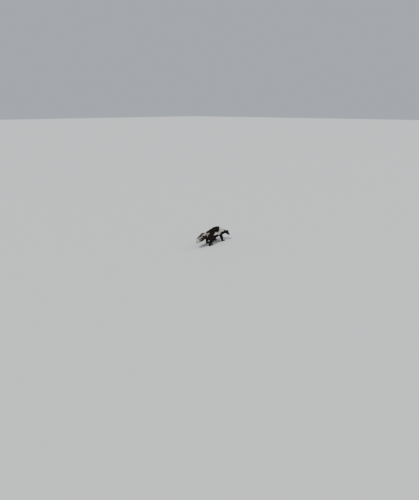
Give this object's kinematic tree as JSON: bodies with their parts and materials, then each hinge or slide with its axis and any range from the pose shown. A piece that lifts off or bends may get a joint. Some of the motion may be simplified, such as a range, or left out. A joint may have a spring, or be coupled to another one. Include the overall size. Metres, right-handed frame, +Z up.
{
  "type": "striped skunk",
  "caption": "Life-size still model of a walking striped skunk, head low and turned, tail trailing behind",
  "frame": {"origin": "on the floor, under the middle of the whole outline", "axes": "+X is ahead along the trunk, towards the head; +Y is the animal's left; +Z is up"},
  "size_m": [0.5242, 0.163, 0.1904],
  "materials": {
    "black_coat": "matte, long brownish-black hair",
    "white_coat": "matte, long cream-white hair",
    "eye": "wet, dark brown",
    "nose_skin": "damp, finely pebbled"
  },
  "bodies": {
    "root": {"torso": "black_coat", "neck": "white_coat", "head": "black_coat", "ear_left": "black_coat", "ear_right": "black_coat", "eye_left": "eye", "eye_right": "eye", "nose": "nose_skin", "tail": "white_coat", "fore_leg_left": "black_coat", "fore_leg_right": "black_coat", "fore_paw_left": "black_coat", "fore_paw_right": "black_coat", "hind_leg_left": "black_coat", "hind_leg_right": "black_coat", "hind_paw_left": "black_coat", "hind_paw_right": "black_coat"}
  },
  "joints": []
}
